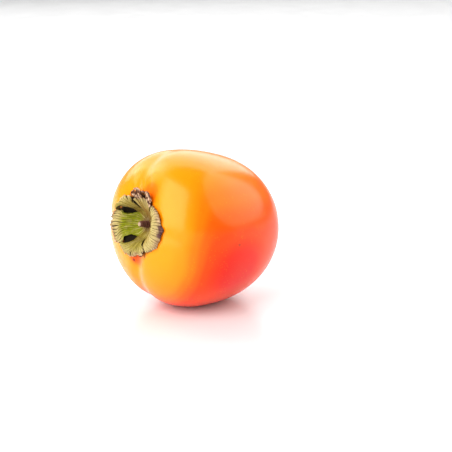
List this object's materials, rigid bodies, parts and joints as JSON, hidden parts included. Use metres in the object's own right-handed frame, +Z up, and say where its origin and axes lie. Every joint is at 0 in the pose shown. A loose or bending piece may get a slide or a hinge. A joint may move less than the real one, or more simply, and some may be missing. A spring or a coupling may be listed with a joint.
{
  "type": "persimmon",
  "caption": "Whole ripe persimmon with its dried ribbed calyx and woody stem stub, lying on its side on a small flat spot.",
  "frame": {"origin": "middle of the bounding box's base, on the surface that the fruit lies on", "axes": "+X towards the blossom end, -X towards the calyx, +Z up, -Y the side that the picture shows"},
  "size_m": [0.085, 0.0764, 0.0765],
  "materials": {
    "fruit_skin": "waxy gloss, golden at the calyx and red at the blossom end",
    "calyx": "dry, ribbed, matt",
    "stem": "rough bark with a pale cut end",
    "style_tip": "dry, matt"
  },
  "bodies": {
    "root": {"fruit": "fruit_skin", "calyx": "calyx", "stem": "stem", "style_tip": "style_tip"}
  },
  "joints": []
}
